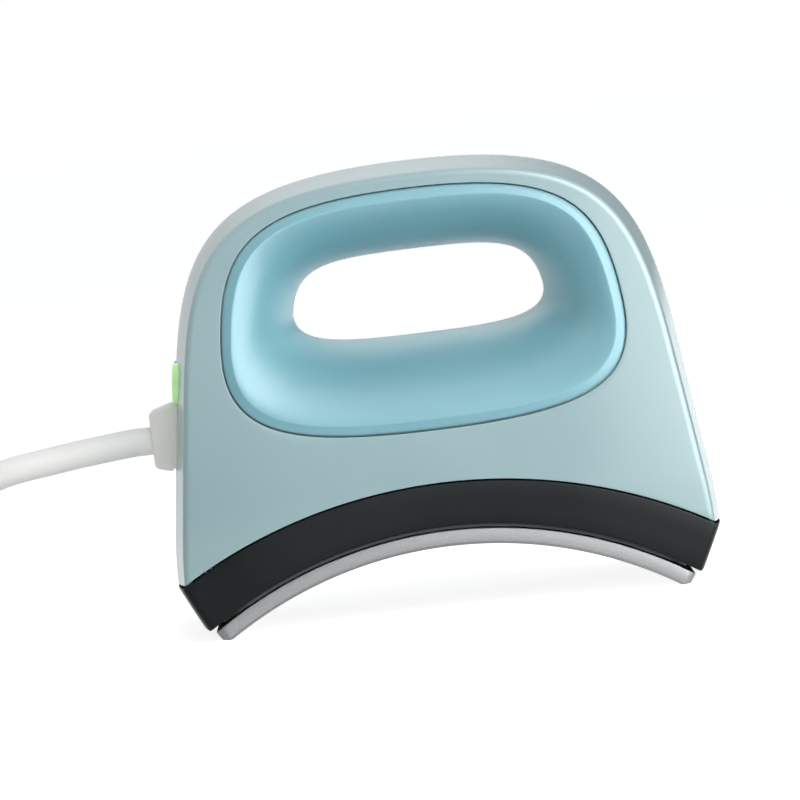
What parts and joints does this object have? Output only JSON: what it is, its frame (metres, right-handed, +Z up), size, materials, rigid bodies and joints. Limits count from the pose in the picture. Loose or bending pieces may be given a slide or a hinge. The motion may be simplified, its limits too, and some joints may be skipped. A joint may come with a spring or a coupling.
{
  "type": "cap heat press",
  "caption": "Hand-held heat press for caps: curved plate on a black skirt, glossy split housing with a soft-lined loop handle, push buttons on one end and a mains cord.",
  "frame": {"origin": "middle of the footprint of the press without its cord, on the surface that the two tips of the plate stand on", "axes": "+Z up, +X along the press's width away from the cord, -Y out of the front face"},
  "size_m": [0.3087, 0.105, 0.1168],
  "materials": {
    "coated_aluminium": "satin cast aluminium",
    "sheet_steel": "plain sheet",
    "screw_steel": "zinc plated",
    "brass": "bright",
    "ceramic": "unglazed ceramic",
    "mica": "pressed mica sheet",
    "fibre": "glass fibre felt and sleeving",
    "black_plastic": "fine satin, heat resistant",
    "housing_blue": "glossy pale blue",
    "grip_blue": "soft-touch satin",
    "button_green": "translucent, lit from behind",
    "boot_grey": "matte",
    "cord_grey": "satin jacket",
    "board_green": "circuit board",
    "relay_blue": "moulded case",
    "capacitor_blue": "sleeve",
    "lead_brown": "silicone insulation",
    "lead_green": "silicone insulation",
    "lead_white": "silicone insulation"
  },
  "bodies": {
    "press": {"base_skirt": "black_plastic", "board_screw_1": "screw_steel", "board_screw_2": "screw_steel", "button_board": "board_green", "button_lead": "lead_white", "buzzer": "black_plastic", "capacitor": "capacitor_blue", "clamp_screw_1": "screw_steel", "clamp_screw_2": "screw_steel", "cord_coil": "cord_grey", "cord_tail": "cord_grey", "cord_tie": "black_plastic", "cutout_lead": "lead_brown", "earth_lead": "lead_green", "element_clamp": "sheet_steel", "front_grip": "grip_blue", "front_shell": "housing_blue", "heat_plate": "coated_aluminium", "heat_shield": "sheet_steel", "heater_lead": "fibre", "heating_element": "mica", "insulation_blanket": "fibre", "insulator_ring": "black_plastic", "live_lead": "lead_brown", "main_board": "board_green", "mains_cord": "cord_grey", "neutral_lead": "relay_blue", "plate_screw_1": "screw_steel", "plate_screw_2": "screw_steel", "plate_screw_3": "screw_steel", "plate_screw_4": "screw_steel", "plate_spacer_1": "ceramic", "plate_spacer_2": "ceramic", "plate_spacer_3": "ceramic", "plate_spacer_4": "ceramic", "plug_blade_1": "brass", "plug_blade_2": "brass", "plug_body": "cord_grey", "plug_earth_pin": "brass", "power_switch": "black_plastic", "rear_grip": "grip_blue", "rear_shell": "housing_blue", "relay": "relay_blue", "sensor_lead": "lead_white", "shell_screw_1": "screw_steel", "shell_screw_2": "screw_steel", "shell_screw_3": "screw_steel", "shell_screw_4": "screw_steel", "skirt_screw_1": "screw_steel", "skirt_screw_2": "screw_steel", "skirt_screw_3": "screw_steel", "skirt_screw_4": "screw_steel", "start_switch": "black_plastic", "strain_relief": "boot_grey", "temperature_sensor": "screw_steel", "terminal_block": "board_green", "thermal_cutout": "ceramic"},
    "power_key": {"power_button": "button_green"},
    "start_key": {"start_button": "grip_blue"}
  },
  "joints": [
    {"name": "power_press", "type": "slide", "parent": "press", "child": "power_key", "axis": [0.9927, 0, -0.1205], "range_m": [0, 0.0009], "stiffness_N_per_m": 300, "springref_m": -0.002},
    {"name": "start_press", "type": "slide", "parent": "press", "child": "start_key", "axis": [0.9927, 0, -0.1205], "range_m": [0, 0.0009], "stiffness_N_per_m": 300, "springref_m": -0.002}
  ]
}
